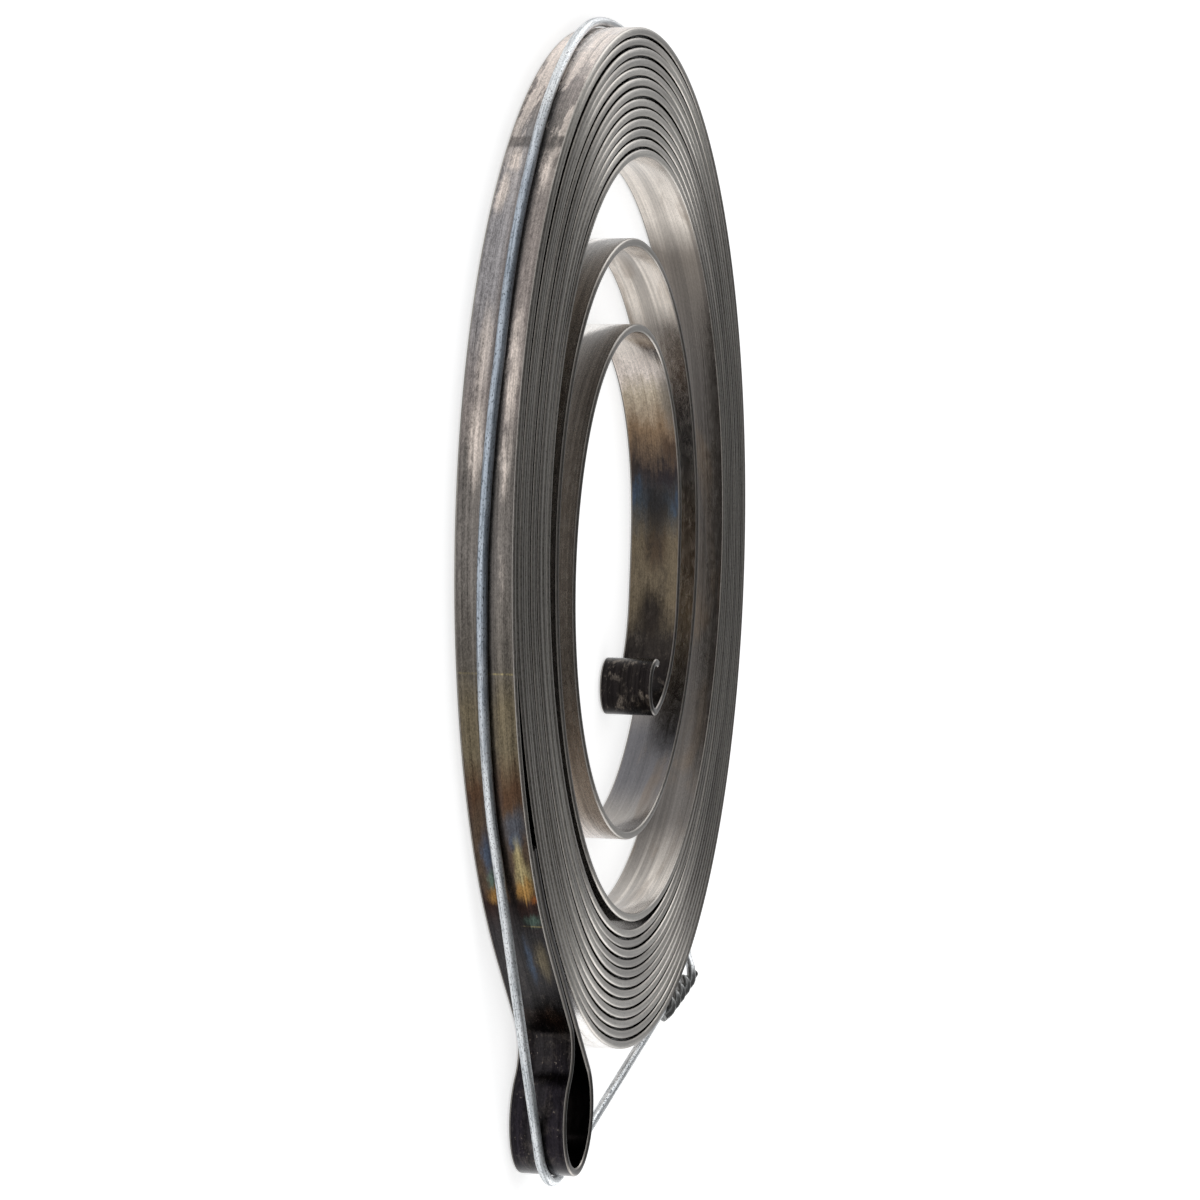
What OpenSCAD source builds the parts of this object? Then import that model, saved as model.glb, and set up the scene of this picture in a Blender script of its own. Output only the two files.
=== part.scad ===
// Recoil starter spring: one flat steel strip coiled flat, with an anchor loop outside and a curled hub hook
// inside, held wound by a tie wire around coil and loop. Axis +Z, lying on z = 0, millimetres.

/* [Strip] */
// width of the strip, along the axis
strip_width = 7; // [4:0.5:14]
// thickness of the strip
strip_thickness = 1; // [0.6:0.05:1.1]

/* [Coil] */
// radius of the first quarter turn at the middle of the strip
coil_radius = 62.4; // [50:0.1:80]
// how far the start of the outermost turn lies inside that radius
start_drop = 0.6; // [0:0.1:1]
// sideways place where the outermost turn starts
start_shift = 0.2; // [-1:0.1:1]
// gap between the packed turns
turn_gap = 0.22; // [0.18:0.01:0.6]
// part of the spacing of the turns taken at the top and at the bottom of each turn
end_share = 0.12; // [0.05:0.01:0.4]
// number of packed turns
packed_turns = 13; // [6:1:16]
// how far the outermost packed turn is pressed in beside the loop
press_outer = 1.4; // [0:0.1:2]
// how far the innermost packed turn is pressed in beside the loop
press_inner = 0.4; // [0:0.1:1]

/* [Loose turns] */
// how much tighter than the last packed turn each loose quarter turn is, from the packed coil inwards
loose_first = [1.14, 2.24, 10.44, 10.44]; // [0.5:0.1:30]
// the same for the next loose quarter turns
loose_second = [12.74, 16.64, 16.74, 23.34]; // [0.5:0.1:30]

/* [Hub hook] */
// radius and angle of the run towards the hook
lead_bend = [82, 7]; // [5:1:90]
// radius and angle of the bend into the hook
hook_bend = [15.6, 65.5]; // [5:1:90]
// radius of the curl at the middle of the strip
curl_radius = 3.1; // [2:0.1:6]
// angle of the curl
curl_angle = 217; // [120:1:280]

/* [Anchor loop] */
// how much wider than the first quarter turn the run beside the coil is bent
leg_lift = 2; // [0.5:0.1:6]
// angle over which that run follows the coil
leg_angle = 46; // [30:1:60]
// straight part before the neck
leg_straight = 12.8; // [5:0.1:20]
// radius of the neck bend
neck_radius = 4.4; // [2:0.1:8]
// radius of the eye at the middle of the strip
eye_radius = 6.45; // [4:0.05:10]
// clearance between the two legs at the eye
leg_clearance = 0.75; // [0.6:0.05:1]
// angle by which the tail closes on the leg
tail_taper = 0.7; // [0:0.1:1]
// angle over which the folded tail follows the coil
tail_angle = 14; // [5:1:25]

/* [Tie wire] */
// diameter of the wire
wire_diameter = 1.2; // [0.8:0.1:1.6]
// clearance between wire and strip
wire_gap = 0.1; // [0.05:0.01:0.3]
// place of the splice around the axis, start and end
splice_span = [16.5, 26.5]; // [0:0.5:90]
// number of turns in the splice
splice_turns = 2.5; // [1.5:1:5.5]
// clearance between the strands of the splice
splice_gap = 0.06; // [0.02:0.01:0.2]
// height of the splice at its start and at its end, as a share of the strip's width
splice_rise = [0.84, 1.06]; // [0.3:0.01:1.3]

/* [Hidden] */
turn_pitch = strip_thickness + turn_gap;
leg_gap = strip_thickness + leg_clearance;
leg_radius = coil_radius + leg_lift;
// angle of a facet in the turns and in the bends that are as tight as the hook's
facet = 4.5;
small_facet = 6;
arc_facets = 96;
// length by which the strip reaches into its true arcs
lap = 0.01;

// path of the strip: each entry is [radius, angle], positive turns left, or [0, length] for a straight
function hop(s, g) = g[0] == 0
    ? [s[0] + g[1] * cos(s[2]), s[1] + g[1] * sin(s[2]), s[2]]
    : let (k = sign(g[1]), e = s[2] + g[1])
      [s[0] + k * g[0] * (sin(e) - sin(s[2])), s[1] + k * g[0] * (cos(s[2]) - cos(e)), e];

function walk(s, run) =
    [for (i = 0, p = s; i <= len(run); p = i < len(run) ? hop(p, run[i]) : p, i = i + 1) p];

function join(lists) = [for (l = lists) for (e = l) e];

// a quarter turn pressed flatter in its later part, with the same start and end
wide = 36;
mid = 18;
press_gain = sin(mid) / (sin(wide) - sin(mid)) * (cos(mid) - cos(wide)) - (1 - cos(mid));
function pressed(r, d) =
    let (k = 1 + d / r / press_gain, tight = r * (sin(wide) - k * sin(mid)) / (sin(wide) - sin(mid)))
    [[r, -90 + 2 * wide], [tight, mid - wide], [k * r, -2 * mid], [tight, mid - wide]];

side_share = turn_pitch / 2 - end_share;
function press(k) = press_outer + (press_inner - press_outer) * k / (packed_turns - 2);
function turn(k) =
    let (r = coil_radius - k * turn_pitch)
    join([[[r, -90], [r - end_share, -90]],
          k < packed_turns - 1 ? [[r - turn_pitch / 2, -90]] : [],
          k < packed_turns - 1 ? pressed(r - turn_pitch / 2 - end_share, press(k)) : []]);

last_radius = coil_radius - (packed_turns - 1) * turn_pitch - end_share;
coil = join([
    join([for (k = [0 : packed_turns - 1]) turn(k)]),
    [for (d = loose_first) [last_radius - d, -90]],
    [for (d = loose_second) [last_radius - d, -90]],
    [[lead_bend[0], -lead_bend[1]], [hook_bend[0], -hook_bend[1]]]
]);
curl = [curl_radius, -curl_angle];

eye_offset = eye_radius - leg_gap;
neck_angle = acos((neck_radius - eye_offset) / (neck_radius + eye_radius));
neck_reach = sqrt(pow(neck_radius + eye_radius, 2) - pow(neck_radius - eye_offset, 2));
leg = [[leg_radius, leg_angle], [0, leg_straight], [neck_radius, -neck_angle]];
eye = [eye_radius, 180 + neck_angle + tail_taper];
tail = [[0, leg_straight + neck_reach], [leg_radius - leg_gap, -tail_angle]];

start = [start_shift, start_drop - coil_radius];
coil_stops = walk([start[0], start[1], 180], coil);
leg_stops = walk([start[0], start[1], 0], leg);
curl_start = coil_stops[len(coil)];
eye_start = leg_stops[len(leg)];
tail_stops = walk(hop(eye_start, eye), tail);

// stations along a whole path, close enough together to look round
near_whole = 0.001;
function steps(g) = g[0] == 0 ? 1 : ceil(abs(g[1]) / (g[0] > hook_bend[0] ? facet : small_facet) - near_whole);
function stations(s, g) = [for (i = [0 : steps(g) - 1]) hop(s, [g[0], g[1] * i / steps(g)])];
function line(stops, run) =
    concat(join([for (i = [0 : len(run) - 1]) stations(stops[i], run[i])]), [stops[len(run)]]);
function reversed(l) = [for (i = [len(l) - 1 : -1 : 1]) l[i] + [0, 0, 180]];
function beside(s, d) = [s[0] - d * sin(s[2]), s[1] + d * cos(s[2])];

function lapped(l) = concat(l, [hop(l[len(l) - 1], [0, lap])]);

module ribbon(l) {
    t = strip_thickness / 2;
    n = len(l);
    linear_extrude(strip_width)
        polygon(concat([for (s = l) beside(s, t)], [for (i = [n - 1 : -1 : 0]) beside(l[i], -t)]));
}

module round_bend(s, g) {
    k = sign(g[1]);
    from = k > 0 ? s[2] - 90 : s[2] + 90 + g[1];
    translate([s[0] - k * g[0] * sin(s[2]), s[1] + k * g[0] * cos(s[2]), 0])
        rotate([0, 0, from - 360 * floor(from / 360)])
            rotate_extrude(angle = abs(g[1]), $fn = arc_facets)
                translate([g[0] - strip_thickness / 2, 0]) square([strip_thickness, strip_width]);
}

module spring() {
    color([0.42, 0.40, 0.37]) union() {
        ribbon(concat(reversed(lapped(line(leg_stops, leg))), lapped(line(coil_stops, coil))));
        round_bend(curl_start, curl);
        round_bend(eye_start, eye);
        ribbon(concat([hop(tail_stops[0], [0, -lap])], line(tail_stops, tail)));
    }
}

// path of the wire: a belt around coil and eye, whose ends wind around each other in a splice
belt_off = strip_thickness / 2 + wire_gap + wire_diameter / 2;
twist_radius = (wire_diameter + splice_gap) / 2;
twist_off = belt_off + twist_radius;
function spot(c, r, a) = [c[0] + r * cos(a), c[1] + r * sin(a)];

leg_centre = [start[0], start[1] + leg_radius];
first_centre = [start[0], start[1] + coil_radius];
second_centre = first_centre - [end_share, 0];
third_centre = second_centre + [0, side_share];
eye_centre = beside(eye_start, eye_radius);
third_radius = coil_radius - turn_pitch / 2;

function tangent_angle(a, ra, b, rb, side) =
    atan2(b[1] - a[1], b[0] - a[0]) + side * acos((ra - rb) / norm(b - a));
near_touch = tangent_angle(leg_centre, leg_radius, eye_centre, eye_radius, -1);
far_touch = tangent_angle(third_centre, third_radius, eye_centre, eye_radius, 1);

// angle of a facet of the wire around the coil and around the eye, and the room left before the splice
belt_facet = 3.2;
eye_facet = 12;
splice_room = 1;
function arc_spots(c, r, a, b, step) =
    let (n = ceil(abs(b - a) / step)) [for (i = [0 : n - 1]) spot(c, r, a + (b - a) * i / n)];
belt_plan = join([
    arc_spots(eye_centre, eye_radius + belt_off, far_touch, near_touch, eye_facet),
    [spot(eye_centre, eye_radius + belt_off, near_touch)],
    arc_spots(leg_centre, leg_radius + belt_off, near_touch, -90, belt_facet),
    arc_spots(first_centre, coil_radius + belt_off, -90, -180, belt_facet),
    arc_spots(second_centre, coil_radius - end_share + belt_off, 180, 90, belt_facet),
    arc_spots(third_centre, third_radius + belt_off, 90, splice_span[1] + splice_room, belt_facet)
]);

// height of the belt by angle around the axis, as a share of the strip's width
belt_rise = [
    [splice_span[1] - 360, splice_rise[1]],
    [-328, 0.8], [-318, 0.66], [-300, 0.56], [-270, 0.45], [-225, 0.29], [-185, 0.24], [-171, 0.27],
    [-150, 0.46], [-130, 0.56], [-108, 0.59], [-88, 0.51], [-61, 0.44], [-44, 0.41], [-33, 0.47],
    [-24, 0.57], [-8, 0.6], [0, 0.66],
    [splice_span[0], splice_rise[0]]
];
function around(p) = let (a = atan2(p[1], p[0])) a > far_touch + splice_room ? a - 360 : a;
belt = [for (p = belt_plan) [p[0], p[1], strip_width * lookup(around(p), belt_rise)]];

// share of the winding done at a share u of the splice, with soft starts
soft = 0.15;
function wound(u) = u < soft ? u * u / (2 * soft * (1 - soft))
    : u > 1 - soft ? 1 - pow(1 - u, 2) / (2 * soft * (1 - soft))
    : (u - soft / 2) / (1 - soft);
splice_steps = 60;
function strand(u, phase) =
    let (a = splice_span[0] + (splice_span[1] - splice_span[0]) * u,
         f = 360 * splice_turns * wound(u) + phase,
         r = third_radius + twist_off + twist_radius * cos(f),
         z = strip_width * (splice_rise[0] + (splice_rise[1] - splice_rise[0]) * u) + twist_radius * sin(f),
         p = spot(third_centre, r, a))
    [p[0], p[1], z];

first_strand = [for (i = [splice_steps : -1 : 0]) strand(i / splice_steps, 180)];
second_strand = [for (i = [splice_steps : -1 : 0]) strand(i / splice_steps, 0)];
tip_steps = 4;
tip = first_strand[0] + tip_steps * (first_strand[0] - first_strand[1]);
wire_path = concat([tip], first_strand, belt, second_strand);
wire_sides = 12;

function unit(v) = v / norm(v);
module rod(path, r, sides) {
    n = len(path);
    ways = [for (i = [0 : n - 1]) unit(path[min(i + 1, n - 1)] - path[max(i - 1, 0)])];
    rings = [for (i = [0 : n - 1])
        let (side = unit(cross(ways[i], [0, 0, 1])), up = cross(side, ways[i]))
        for (k = [0 : sides - 1]) path[i] + r * (side * cos(360 * k / sides) + up * sin(360 * k / sides))];
    walls = [for (i = [0 : n - 2]) for (k = [0 : sides - 1])
        [i * sides + k, i * sides + (k + 1) % sides, (i + 1) * sides + (k + 1) % sides, (i + 1) * sides + k]];
    caps = [[for (k = [sides - 1 : -1 : 0]) k], [for (k = [0 : sides - 1]) (n - 1) * sides + k]];
    polyhedron(points = rings, faces = concat(walls, caps), convexity = 8);
}

module binding_wire() {
    color([0.62, 0.64, 0.66]) rod(wire_path, wire_diameter / 2, wire_sides);
}

spring();
binding_wire();
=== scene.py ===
import math
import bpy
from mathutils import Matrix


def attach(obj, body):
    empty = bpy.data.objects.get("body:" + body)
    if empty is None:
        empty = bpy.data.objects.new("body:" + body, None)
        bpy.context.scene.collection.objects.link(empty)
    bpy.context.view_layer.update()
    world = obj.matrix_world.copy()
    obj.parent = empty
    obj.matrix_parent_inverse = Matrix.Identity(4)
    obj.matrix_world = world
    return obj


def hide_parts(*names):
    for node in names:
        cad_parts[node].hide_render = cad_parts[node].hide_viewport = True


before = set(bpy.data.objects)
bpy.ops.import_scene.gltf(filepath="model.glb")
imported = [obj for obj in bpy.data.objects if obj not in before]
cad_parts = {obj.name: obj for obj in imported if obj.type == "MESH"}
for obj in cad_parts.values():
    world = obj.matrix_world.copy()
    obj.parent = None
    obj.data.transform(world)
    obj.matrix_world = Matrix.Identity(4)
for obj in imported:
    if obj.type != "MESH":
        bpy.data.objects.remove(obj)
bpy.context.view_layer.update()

from types import SimpleNamespace

import bpy
import numpy as np
from mathutils import Matrix, Vector

MM = 0.001

# path of the strip in millimetres and degrees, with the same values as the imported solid
STRIP_WIDTH = 7.0
STRIP_THICKNESS = 1.0
COIL_RADIUS = 62.4
START = (0.2, -61.8)
TURN_PITCH = 1.22
END_SHARE = 0.12
PACKED_TURNS = 13
QUARTER = -90.0
PRESS_OUTER, PRESS_INNER = 1.4, 0.4
PRESS_WIDE, PRESS_MID = 36.0, 18.0
LAST_RADIUS = COIL_RADIUS - (PACKED_TURNS - 1) * TURN_PITCH - END_SHARE
LOOSE_DROPS = (1.14, 2.24, 10.44, 10.44, 12.74, 16.64, 16.74, 23.34)
LEAD_BEND = (82.0, -7.0)
HOOK_BEND = (15.6, -65.5)
CURL = (3.1, -217.0)
HOOK_RUN = [LEAD_BEND, HOOK_BEND, CURL]
LEG_RADIUS, LEG_ANGLE, LEG_STRAIGHT = 64.4, 46.0, 12.8
NECK_RADIUS, EYE_RADIUS, LEG_GAP = 4.4, 6.45, 1.75
TAIL_TAPER, TAIL_ANGLE = 0.7, 14.0

# steps of the path: degrees in large and small bends, millimetres in straights
BIG_STEP, SMALL_STEP, SMALL_BEND = 2.0, 5.0, 20.0
STRAIGHT_STEP = 1.5
COUNT_SLACK = 0.001

# finish of the visible strip: crowned edges, and turns that sit a little high or low
CROWN_REACH, CROWN_DROP = 0.46, 0.26
CORNER_STEPS = 5
WORN_GLINT_FROM = 0.7
THINNING = 0.04
AXIAL_PLAY = 0.34
RADIAL_PLAY = 0.075
# slow waves along the strip, as length and phase
LIFT_WAVES = ((2310, 0.4), (1130, 2.1), (690, 0.7), (517, 4.0), (283, 1.0))
LIFT_AMOUNT, LIFT_GAIN = 0.6, 1.5
SHIFT_WAVES = ((1710, 1.2), (731, 0.3), (349, 3.3))
# the play starts and ends softly, and is larger on the near side than on the far side
CALM_LOOP, CALM_LOOP_SPAN = 30, 60
CALM_HOOK, CALM_HOOK_SPAN = 40, 80
PLAY_MEAN, PLAY_LEAN, PLAY_REACH = 0.65, 0.35, 45


def hop(s, g):
    """The end of a bend (radius, angle) or a straight (0, length) that starts at s."""
    x, y, h = s
    if g[0] == 0:
        return (x + g[1] * math.cos(h), y + g[1] * math.sin(h), h)
    k = math.copysign(1.0, g[1])
    e = h + math.radians(g[1])
    return (
        x + k * g[0] * (math.sin(e) - math.sin(h)),
        y + k * g[0] * (math.cos(h) - math.cos(e)),
        e,
    )


def pressed(r, d):
    """A quarter turn of radius r that is pressed in by d in its middle."""
    wide, mid = math.radians(PRESS_WIDE), math.radians(PRESS_MID)
    span = math.sin(wide) - math.sin(mid)
    gain = math.sin(mid) / span * (math.cos(mid) - math.cos(wide)) - (1 - math.cos(mid))
    k = 1 + d / r / gain
    tight = (r * (math.sin(wide) - k * math.sin(mid)) / span, PRESS_MID - PRESS_WIDE)
    return [(r, -PRESS_MID), tight, (k * r, -2 * PRESS_MID), tight]


def inward_run():
    run = []
    for k in range(PACKED_TURNS):
        r = COIL_RADIUS - k * TURN_PITCH
        run += [(r, QUARTER), (r - END_SHARE, QUARTER)]
        if k < PACKED_TURNS - 1:
            press = PRESS_OUTER + (PRESS_INNER - PRESS_OUTER) * k / (PACKED_TURNS - 2)
            run += [(r - TURN_PITCH / 2, QUARTER)]
            run += pressed(r - TURN_PITCH / 2 - END_SHARE, press)
    return run + loose_run()


def loose_run():
    return [(LAST_RADIUS - d, QUARTER) for d in LOOSE_DROPS] + HOOK_RUN


def outward_run():
    offset = EYE_RADIUS - LEG_GAP
    both = NECK_RADIUS + EYE_RADIUS
    neck = math.degrees(math.acos((NECK_RADIUS - offset) / both))
    reach = math.sqrt(both**2 - (NECK_RADIUS - offset) ** 2)
    return [
        (LEG_RADIUS, LEG_ANGLE),
        (0, LEG_STRAIGHT),
        (NECK_RADIUS, -neck),
        (EYE_RADIUS, 180.0 + neck + TAIL_TAPER),
        (0, LEG_STRAIGHT + reach),
        (LEG_RADIUS - LEG_GAP, -TAIL_ANGLE),
    ]


def follow(s, run):
    """Stations (x, y, heading, length so far) along a run."""
    rows, way = [], 0.0
    for g in run:
        if g[0] == 0:
            length = g[1]
            count = max(1, round(length / STRAIGHT_STEP))
        else:
            length = abs(g[0] * math.radians(g[1]))
            step = BIG_STEP if g[0] > SMALL_BEND else SMALL_STEP
            count = max(1, math.ceil(abs(g[1]) / step - COUNT_SLACK))
        for i in range(count):
            rows.append((*hop(s, (g[0], g[1] * i / count)), way + length * i / count))
        way += length
        s = hop(s, g)
    rows.append((*s, way))
    return rows


outward = follow((*START, 0.0), outward_run())
inward = follow((*START, math.pi), inward_run())
strip_line = [(x, y, h + math.pi, -w) for x, y, h, w in reversed(outward[1:])] + inward
strip_line = np.array(strip_line)
HOOK_END = inward[-1][3]
LOOSE_START = HOOK_END - follow((*START, math.pi), loose_run())[-1][3]
FIRST_TURN = 2 * math.pi * COIL_RADIUS


def sway(s, waves, amount):
    """A slow wander along the strip, from -amount to amount, out of a few sines."""
    total = np.zeros_like(s)
    for length, phase in waves:
        total += np.sin(2 * math.pi * s / length + phase)
    return amount * total / len(waves)


def cross_section(width):
    """Rows of the section with its crowned edges: outwards, up, angle of the normal, and whether a corner
    is rubbed and carries a painted highlight.
    """
    half = (STRIP_THICKNESS - THINNING) / 2
    rows = []
    corners = ((half, 0.0, -90), (half, width, 0), (-half, width, 90), (-half, 0.0, 180))
    for n, z, first in corners:
        cn = n - math.copysign(CROWN_REACH, n)
        cz = CROWN_DROP if z == 0.0 else z - CROWN_DROP
        for i in range(CORNER_STEPS + 1):
            a = math.radians(first + 90 * i / CORNER_STEPS)
            turn = math.atan2(math.sin(a) / CROWN_DROP, math.cos(a) / CROWN_REACH)
            worn_glint = 1.0 if abs(math.cos(a)) > WORN_GLINT_FROM else 0.0
            rows.append((cn + CROWN_REACH * math.cos(a), cz + CROWN_DROP * math.sin(a), turn, worn_glint))
    return np.array(rows)


def sweep_mesh(name, rings, normals, first_cap, last_cap, extras, second=()):
    """A closed tube through rings of points, with exact normals and named attributes.

    The sides listed in second take the second material."""
    count, sides = rings.shape[:2]
    me = bpy.data.meshes.new(name)
    i, k = np.meshgrid(np.arange(count - 1), np.arange(sides), indexing="ij")
    k2 = (k + 1) % sides
    quads = np.stack([i * sides + k, i * sides + k2, (i + 1) * sides + k2, (i + 1) * sides + k], -1)
    quads = quads.reshape(-1, 4)
    start = list(range(sides - 1, -1, -1))
    end = list(range((count - 1) * sides, count * sides))
    me.from_pydata(rings.reshape(-1, 3).tolist(), [], quads.tolist() + [start, end])
    me.polygons.foreach_set("use_smooth", [True] * len(me.polygons))
    slots = np.append(np.isin(k.reshape(-1), second), [False, False]).astype(np.int32)
    me.polygons.foreach_set("material_index", slots)
    loops = normals.reshape(-1, 3)[quads.reshape(-1)].tolist()
    loops += [tuple(first_cap)] * sides + [tuple(last_cap)] * sides
    me.normals_split_custom_set(loops)
    for label, (kind, values) in extras.items():
        layer = me.attributes.new(label, kind, "POINT")
        layer.data.foreach_set("vector" if kind == "FLOAT_VECTOR" else "value", values.reshape(-1))
    obj = bpy.data.objects.new(name, me)
    bpy.context.collection.objects.link(obj)
    return obj


def make_strip():
    x, y, h, s = strip_line.T
    n, z, turn, worn_glint = cross_section(STRIP_WIDTH - AXIAL_PLAY).T
    lift = sway(s, LIFT_WAVES, LIFT_AMOUNT)
    calm = np.clip((s - CALM_LOOP) / CALM_LOOP_SPAN, 0, 1)
    calm = calm * np.clip((HOOK_END - s - CALM_HOOK) / CALM_HOOK_SPAN, 0, 1)
    calm *= PLAY_MEAN - PLAY_LEAN * np.clip(y / PLAY_REACH, -1, 1)
    raised = AXIAL_PLAY * (0.5 + np.clip(LIFT_GAIN * lift, -0.5, 0.5) * calm)
    shift = sway(s, SHIFT_WAVES, RADIAL_PLAY) * calm
    depth = n[None, :] + shift[:, None]
    side = np.stack([-np.sin(h), np.cos(h)], -1)
    rings = np.empty((len(s), len(n), 3))
    rings[..., 0] = x[:, None] + depth * side[:, None, 0]
    rings[..., 1] = y[:, None] + depth * side[:, None, 1]
    rings[..., 2] = z[None, :] + raised[:, None]
    normals = np.empty_like(rings)
    normals[..., 0] = np.cos(turn)[None, :] * side[:, None, 0]
    normals[..., 1] = np.cos(turn)[None, :] * side[:, None, 1]
    normals[..., 2] = np.sin(turn)[None, :]
    unrolled = np.empty_like(rings)
    unrolled[..., 0] = s[:, None]
    unrolled[..., 1] = z[None, :]
    unrolled[..., 2] = n[None, :]
    ways = np.stack([np.cos(h), np.sin(h), np.zeros_like(h)], -1)
    crossway = np.zeros_like(rings)
    crossway[..., :2] = side[:, None]
    extras = {
        "unrolled": ("FLOAT_VECTOR", unrolled),
        "worn_glint": ("FLOAT", np.broadcast_to(worn_glint, unrolled.shape[:2]).copy()),
        "crossway": ("FLOAT_VECTOR", crossway),
    }
    walls = (CORNER_STEPS, 3 * CORNER_STEPS + 2)
    return sweep_mesh("steel_strip", rings * MM, normals, -ways[0], ways[-1], extras, walls)


# path of the tie wire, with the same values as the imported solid
WIRE_DIAMETER = 1.2
WIRE_GAP = 0.1
SPLICE_SPAN = (16.5, 26.5)
SPLICE_TURNS = 2.5
SPLICE_GAP = 0.06
SPLICE_RISE = (0.84, 1.06)
SPLICE_STEPS = 120
SPLICE_ROOM = 1.0
SOFT = 0.15
TIP_LENGTH = 8
# height of the wire as a share of the strip's width, by the angle around the coil
BELT_RISE = (
    (SPLICE_SPAN[1] - 360, SPLICE_RISE[1]),
    (-328, 0.8), (-318, 0.66), (-300, 0.56), (-270, 0.45), (-225, 0.29), (-185, 0.24), (-171, 0.27),
    (-150, 0.46), (-130, 0.56), (-108, 0.59), (-88, 0.51), (-61, 0.44), (-44, 0.41), (-33, 0.47),
    (-24, 0.57), (-8, 0.6), (0, 0.66),
    (SPLICE_SPAN[0], SPLICE_RISE[0]),
)
# the visible wire: a little thinner than the solid, with steps in degrees and then in millimetres
WIRE_RADIUS = 0.584
WIRE_SIDES = 20
BELT_STEP, EYE_STEP = 1.0, 4.0
LINE_STEP = 0.4
SMOOTH_ROUNDS = 3


def wire_points():
    belt_off = STRIP_THICKNESS / 2 + WIRE_GAP + WIRE_DIAMETER / 2
    twist = (WIRE_DIAMETER + SPLICE_GAP) / 2
    eye_start = (*START, 0.0)
    for g in outward_run()[:3]:
        eye_start = hop(eye_start, g)
    h = eye_start[2]
    eye = np.array([eye_start[0] - EYE_RADIUS * math.sin(h), eye_start[1] + EYE_RADIUS * math.cos(h)])
    leg = np.array([START[0], START[1] + LEG_RADIUS])
    first = np.array([START[0], START[1] + COIL_RADIUS])
    second = first - [END_SHARE, 0.0]
    third = second + [0.0, TURN_PITCH / 2 - END_SHARE]
    third_radius = COIL_RADIUS - TURN_PITCH / 2

    def spots(c, r, a, b, step):
        count = math.ceil(abs(b - a) / step)
        angles = np.radians(a + (b - a) * np.arange(count) / count)
        return np.stack([c[0] + r * np.cos(angles), c[1] + r * np.sin(angles)], -1)

    def touch(a, ra, rb, sign):
        gap = eye - a
        lean = math.acos((ra - rb) / np.linalg.norm(gap))
        return math.degrees(math.atan2(gap[1], gap[0]) + sign * lean)

    near = touch(leg, LEG_RADIUS, EYE_RADIUS, -1)
    far = touch(third, third_radius, EYE_RADIUS, 1)
    plan = np.concatenate([
        spots(eye, EYE_RADIUS + belt_off, far, near, EYE_STEP),
        spots(leg, LEG_RADIUS + belt_off, near, -90.0, BELT_STEP),
        spots(first, COIL_RADIUS + belt_off, -90.0, -180.0, BELT_STEP),
        spots(second, COIL_RADIUS - END_SHARE + belt_off, 180.0, 90.0, BELT_STEP),
        spots(third, third_radius + belt_off, 90.0, SPLICE_SPAN[1] + SPLICE_ROOM, BELT_STEP),
    ])
    angle = np.degrees(np.arctan2(plan[:, 1], plan[:, 0]))
    angle = np.where(angle > far + SPLICE_ROOM, angle - 360, angle)
    rise = np.interp(angle, [r[0] for r in BELT_RISE], [r[1] for r in BELT_RISE])
    belt = np.column_stack([plan, STRIP_WIDTH * rise])

    def strand(phase):
        u = np.linspace(1, 0, SPLICE_STEPS + 1)
        bend = 2 * SOFT * (1 - SOFT)
        late = np.where(u > 1 - SOFT, 1 - (1 - u) ** 2 / bend, (u - SOFT / 2) / (1 - SOFT))
        wound = np.where(u < SOFT, u * u / bend, late)
        a = np.radians(SPLICE_SPAN[0] + (SPLICE_SPAN[1] - SPLICE_SPAN[0]) * u)
        f = 2 * math.pi * SPLICE_TURNS * wound + phase
        r = third_radius + belt_off + twist + twist * np.cos(f)
        z = STRIP_WIDTH * (SPLICE_RISE[0] + (SPLICE_RISE[1] - SPLICE_RISE[0]) * u) + twist * np.sin(f)
        return np.column_stack([third[0] + r * np.cos(a), third[1] + r * np.sin(a), z])

    one, two = strand(math.pi), strand(0.0)
    tip = one[0] + np.outer(np.arange(TIP_LENGTH, 0, -1), one[0] - one[1])
    return np.concatenate([tip, one, belt, two])


def smooth(points, rounds):
    """Takes the corners out of a line without moving its ends."""
    for _ in range(rounds):
        points[1:-1] = 0.25 * points[:-2] + 0.5 * points[1:-1] + 0.25 * points[2:]
    return points


def even(points, step):
    """Points at even steps along a line, and the way to each of them."""
    gaps = np.linalg.norm(np.diff(points, axis=0), axis=1)
    way = np.concatenate([[0.0], np.cumsum(gaps)])
    at = np.linspace(0, way[-1], int(way[-1] / step) + 1)
    return np.column_stack([np.interp(at, way, points[:, i]) for i in range(3)]), at


def make_wire():
    line, way = even(wire_points(), LINE_STEP)
    line = smooth(line, SMOOTH_ROUNDS)
    tangent = np.gradient(line, axis=0)
    tangent /= np.linalg.norm(tangent, axis=1)[:, None]
    side = np.cross([0.0, 0.0, 1.0], tangent)
    side /= np.linalg.norm(side, axis=1)[:, None]
    up = np.cross(tangent, side)
    angle = 2 * math.pi * np.arange(WIRE_SIDES) / WIRE_SIDES
    normals = side[:, None] * np.cos(angle)[None, :, None] + up[:, None] * np.sin(angle)[None, :, None]
    rings = line[:, None] + WIRE_RADIUS * normals
    laid = np.empty_like(rings)
    laid[..., 0] = way[:, None]
    laid[..., 1] = WIRE_RADIUS * np.cos(angle)[None, :]
    laid[..., 2] = WIRE_RADIUS * np.sin(angle)[None, :]
    extras = {"laid": ("FLOAT_VECTOR", laid)}
    return sweep_mesh("tie_wire", rings * MM, normals, -tangent[0], tangent[-1], extras), way[-1]


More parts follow.
